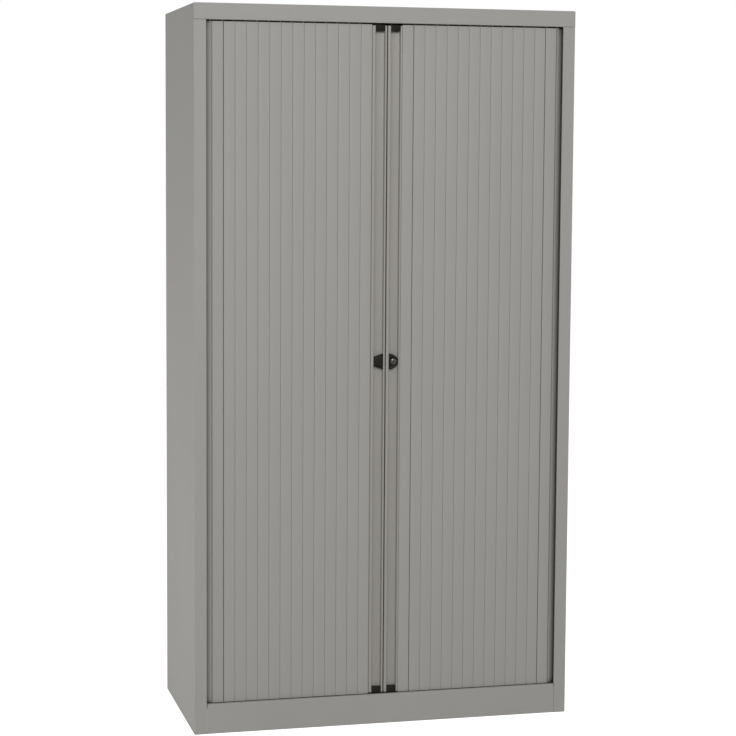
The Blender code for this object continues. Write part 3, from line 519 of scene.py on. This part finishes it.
# Both rails have the same section, with the wider lip on the left of the channel.
for side in ("left", "right"):
    low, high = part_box(f"lead_rail_{side}")
    shape = merged_copy(f"lead_rail_{side}")
    left_edge = high.x - RAIL_WIDE if side == "left" else low.x
    for x in (left_edge, left_edge + LEFT_LIP, left_edge + RAIL_WIDE - RIGHT_LIP, left_edge + RAIL_WIDE):
        for corner in shape.verts:
            if abs(corner.co.x - x) < LIP_BEND and corner.co.y < low.y + LIP_BEND:
                corner.co.x, corner.co.y = x, low.y
    bmesh.ops.remove_doubles(shape, verts=shape.verts, dist=WELD)
    lip_edges = [
        edge for edge in shape.edges
        if all(abs(end.co.y - low.y) < WELD for end in edge.verts) and edge.calc_length() > TALL_EDGE
    ]
    bmesh.ops.bevel(
        shape, geom=lip_edges, offset=LIP_ROUND, offset_type="OFFSET", affect="EDGES",
        segments=6, profile=0.5, material=-1, clamp_overlap=True,
    )
    rail = object_of(f"lead_rail_{side}_drawn", shape, rail_enamel)
    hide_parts(f"lead_rail_{side}")
    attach(rail, f"{side}_rail")


# End caps: black injection-moulded plugs pressed into the ends of each rail.
# The mould gives them rounded edges and a satin spark-eroded skin.
BLACK_LIGHT = (0.0090, 0.0075, 0.0045, 1.0)
BLACK_DARK = (0.0045, 0.0036, 0.0020, 1.0)
CAP_ROUND = 0.0011
CAP_EDGE = 0.0031
CAP_SHORT = 0.0038
CRISP_FROM = math.radians(25)

black_moulding = grained(
    "black_moulding", BLACK_DARK, BLACK_LIGHT, tone_scale=40.0, grain_scale=1300.0,
    rough=(0.34, 0.55), strength=0.4, deep=0.00004, **{"Specular IOR Level": 0.16},
)

for side in ("left", "right"):
    for end, away in (("top", 1), ("floor", -1)):
        node = f"{end}_cap_{side}"
        low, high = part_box(node)
        flange_end = low.z if end == "top" else high.z
        cap = merged_copy(node)
        for corner in cap.verts:
            if abs(corner.co.z - flange_end) < CAP_EDGE:
                corner.co.z += away * CAP_SHORT
        crisp = [
            edge for edge in cap.edges
            if len(edge.link_faces) == 2 and edge.calc_face_angle(0.0) > CRISP_FROM
        ]
        bmesh.ops.bevel(
            cap, geom=crisp, offset=CAP_ROUND, offset_type="OFFSET", affect="EDGES",
            segments=3, profile=0.5, material=-1, clamp_overlap=True,
        )
        moulded = object_of(node + "_moulded", cap, black_moulding)
        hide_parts(node)
        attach(moulded, f"{side}_rail")


# Lock housing and keeper: the same black plastic, two bosses in the finger channels.
# One is half round about the barrel, the other tapers away from the meeting edge.
HOUSING_HIGH = 0.040
KEEPER_LOW = 0.023
LOCK_HIGH = 0.950
HOUSING_SOFT = 0.0030
HOUSING_STEPS = 72
BARREL_AT = 0.0217
BORE_RADIUS = 0.0090
BORE_REACH = 0.03
ROUND_STEPS = 64

housing_low, housing_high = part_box("lock_housing")
face_y, root_y = housing_low.y, housing_high.y
outline = bmesh.new()
bmesh.ops.create_circle(outline, cap_ends=True, segments=HOUSING_STEPS, radius=1.0)
bmesh.ops.scale(outline, verts=outline.verts, vec=(housing_high.x - housing_low.x, HOUSING_HIGH / 2, 1.0))
bmesh.ops.bisect_plane(
    outline, geom=outline.verts[:] + outline.edges[:] + outline.faces[:], dist=SPUN_WELD,
    plane_co=(0.0, 0.0, 0.0), plane_no=(-1.0, 0.0, 0.0), clear_outer=True,
)
bmesh.ops.rotate(outline, verts=outline.verts, matrix=Matrix.Rotation(math.pi / 2, 3, "X"))
bmesh.ops.translate(outline, verts=outline.verts, vec=(housing_low.x, root_y, LOCK_HIGH))


def boss_from(shape):
    """Pulls a flat outline forward out of the channel and rounds its front edges."""
    made = bmesh.ops.extrude_face_region(shape, geom=shape.faces[:])
    front = [v for v in made["geom"] if isinstance(v, bmesh.types.BMVert)]
    bmesh.ops.translate(shape, verts=front, vec=(0.0, face_y - root_y, 0.0))
    rim = [e for e in shape.edges if all(abs(v.co.y - face_y) < WELD for v in e.verts)]
    bmesh.ops.bevel(
        shape, geom=rim, offset=HOUSING_SOFT, offset_type="OFFSET", affect="EDGES",
        segments=4, profile=0.5, material=-1, clamp_overlap=True,
    )


def cut_out(piece, name, cutter):
    """Cuts another object's shape out of this one, and takes the cutter away."""
    hollow = piece.modifiers.new(name, "BOOLEAN")
    hollow.object = cutter
    hollow.operation = "DIFFERENCE"
    hollow.solver = "EXACT"
    cut = bpy.data.meshes.new_from_object(piece.evaluated_get(bpy.context.evaluated_depsgraph_get()))
    piece.modifiers.clear()
    piece.data = cut
    bpy.data.objects.remove(cutter)


boss_from(outline)
lock_boss = object_of("lock_boss", outline, black_moulding)
bore = bmesh.new()
bore_outline = [(-BORE_REACH, 0.0), (-BORE_REACH, BORE_RADIUS), (BORE_REACH, BORE_RADIUS), (BORE_REACH, 0.0)]
turned(bore, bore_outline, Vector((BARREL_AT, root_y, LOCK_HIGH)), Vector((0.0, 1.0, 0.0)), ROUND_STEPS)
cut_out(lock_boss, "bore", object_of("bore_tool", bore, black_moulding))
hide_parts("lock_housing")
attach(lock_boss, "right_rail")

keeper_low, keeper_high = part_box("keeper_housing")
outline = bmesh.new()
bmesh.ops.create_grid(outline, x_segments=1, y_segments=1, size=0.5)
for corner in outline.verts:
    tall, x = (HOUSING_HIGH, keeper_high.x) if corner.co.x > 0 else (KEEPER_LOW, keeper_low.x)
    corner.co = Vector((x, root_y, LOCK_HIGH + math.copysign(tall / 2, corner.co.y)))
boss_from(outline)
keeper_boss = object_of("keeper_boss", outline, black_moulding)
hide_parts("keeper_housing")
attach(keeper_boss, "left_rail")


# Lock barrel: a turned and plated die casting with a rim, a ring groove and a key slot.
# It turns in its housing, and its shank carries the hook bolt behind the rail.
BARREL_RADIUS = 0.0087
BARREL_DEEP = 0.0130
SHANK_RADIUS = 0.0045
RIM_DOME = [
    (0.0004, 0.0060), (0.0, 0.0064), (0.00012, 0.0070), (0.00040, 0.0076),
    (0.00085, 0.0081), (0.0015, 0.0085), (0.0023, BARREL_RADIUS),
]
RING_DEEP = 0.0009
PLUG_RADIUS = 0.0056
PLUG_BACK = 0.0004
PLUG_EDGE = (0.0002, 0.0003)
KEY_WIDE, KEY_TALL, KEY_DEEP = 0.0022, 0.0058, 0.0030
KEY_ROUND = 0.0005
RINGS_PER_METRE = 9000.0
PLATE_LIGHT = (0.135, 0.130, 0.118, 1.0)
PLATE_DARK = (0.075, 0.071, 0.062, 1.0)

plated, tree, shader = finish_named("plated_lock", **{"Metallic": 1.0})
where = add(tree, "ShaderNodeTexCoord").outputs["Object"]
centred = add(tree, "ShaderNodeMapping", {"Vector": where, "Location": (-BARREL_AT, 0.0, -LOCK_HIGH)})
flat_on = add(tree, "ShaderNodeVectorMath", {0: centred.outputs[0], 1: (1.0, 0.0, 1.0)}, operation="MULTIPLY")
radius = add(tree, "ShaderNodeVectorMath", {0: flat_on.outputs[0]}, operation="LENGTH")
ring_at = add(tree, "ShaderNodeMath", {0: radius.outputs["Value"], 1: RINGS_PER_METRE}, operation="MULTIPLY")
rings = add(
    tree, "ShaderNodeTexNoise", {"W": ring_at.outputs[0], "Scale": 1.0, "Detail": 2.0}, noise_dimensions="1D"
)
tone = placed(tree, slow_tone, {"Per metre": 120.0})["Tone"]
tree.links.new(colour_mix(tree, tone, PLATE_DARK, PLATE_LIGHT), shader["Base Color"])
tree.links.new(scaled(tree, rings.outputs["Fac"], 0.10, 0.24), shader["Roughness"])
raised = add(tree, "ShaderNodeBump", {"Height": rings.outputs["Fac"], "Strength": 0.3, "Distance": 0.00002})
tree.links.new(raised.outputs[0], shader["Normal"])

barrel_low, barrel_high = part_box("lock_barrel")
centre = Vector((BARREL_AT, barrel_low.y, LOCK_HIGH))
shank_end = barrel_high.y - barrel_low.y
barrel = bmesh.new()
barrel_outline = [
    (PLUG_BACK, 0.0), (PLUG_BACK, PLUG_RADIUS - PLUG_EDGE[1]), (PLUG_BACK + PLUG_EDGE[0], PLUG_RADIUS),
    (RING_DEEP, PLUG_RADIUS), (RING_DEEP, RIM_DOME[0][1]), *RIM_DOME,
    (BARREL_DEEP, BARREL_RADIUS), (BARREL_DEEP, SHANK_RADIUS), (shank_end, SHANK_RADIUS), (shank_end, 0.0),
]
turned(barrel, barrel_outline, centre, Vector((0.0, 1.0, 0.0)), ROUND_STEPS)
lock_barrel = object_of("turned_barrel", barrel, plated)
key = bmesh.new()
bmesh.ops.create_cube(key, size=1.0)
bmesh.ops.scale(key, verts=key.verts, vec=(KEY_WIDE, 2 * KEY_DEEP, KEY_TALL))
bmesh.ops.bevel(
    key, geom=[e for e in key.edges if abs((e.verts[0].co - e.verts[1].co).y) > KEY_DEEP],
    offset=KEY_ROUND, affect="EDGES", segments=3, profile=0.5, material=-1,
)
bmesh.ops.translate(key, verts=key.verts, vec=centre)
cut_out(lock_barrel, "key_slot", object_of("key_tool", key, plated))
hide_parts("lock_barrel")
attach(lock_barrel, "lock")

finished(zinc_plate, "hook_bolt")


# Tracks: grooved rails of dark grey low-friction plastic that the shutters run in.
# They are extruded straight, then warmed and bent round the corner.
TRACK_LIGHT = (0.085, 0.085, 0.086, 1.0)
TRACK_DARK = (0.062, 0.062, 0.063, 1.0)

track_plastic = grained(
    "track_plastic", TRACK_DARK, TRACK_LIGHT, tone_scale=12.0, grain_scale=1000.0,
    rough=(0.35, 0.5), strength=0.3, deep=0.00003, **{"Specular IOR Level": 0.4},
)
finished(track_plastic, "top_track_left", "top_track_right", "floor_track_left", "floor_track_right")


# Levelling feet: a pressed round pad on a threaded stud, which screws in and out.
# All four are zinc plated steel and sit in threaded bosses in the base.
STUD_RADIUS = 0.0040
STUD_TIP = 0.0004
THREAD_DEEP = 0.0005
THREAD_RISE = 0.00125
PAD_TALL = 0.0052
PAD_NECK = 0.0085
PAD_EDGE = 0.0008
PAD_RIM = 0.0022
PAD_SHOULDER = (0.0034, 0.0016)
FOOT_STEPS = 28

for name in ("front_left", "front_right", "rear_left", "rear_right"):
    low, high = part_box(f"foot_{name}")
    axis = Vector(((low.x + high.x) / 2, (low.y + high.y) / 2, low.z))
    reach = (high.x - low.x) / 2
    tall = high.z - low.z
    foot = bmesh.new()
    outline = [
        (0.0, 0.0), (0.0, reach - PAD_EDGE), (PAD_EDGE, reach), (PAD_RIM, reach),
        (PAD_SHOULDER[0], reach - PAD_SHOULDER[1]), (PAD_TALL, PAD_NECK), (PAD_TALL, STUD_RADIUS),
    ]
    for tooth in range(int((tall - PAD_TALL - 0.001) / THREAD_RISE)):
        start = PAD_TALL + STUD_TIP + tooth * THREAD_RISE
        outline += [
            (start + THREAD_RISE * 0.2, STUD_RADIUS),
            (start + THREAD_RISE * 0.65, STUD_RADIUS - THREAD_DEEP),
            (start + THREAD_RISE, STUD_RADIUS - THREAD_DEEP * 0.2),
        ]
    outline += [(tall - STUD_TIP, STUD_RADIUS - THREAD_DEEP), (tall, STUD_RADIUS - 2 * THREAD_DEEP), (tall, 0.0)]
    turned(foot, outline, axis, Vector((0.0, 0.0, 1.0)), FOOT_STEPS)
    piece = object_of(f"levelling_foot_{name}", foot, zinc_plate)
    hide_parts(f"foot_{name}")
    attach(piece, f"{name}_foot")
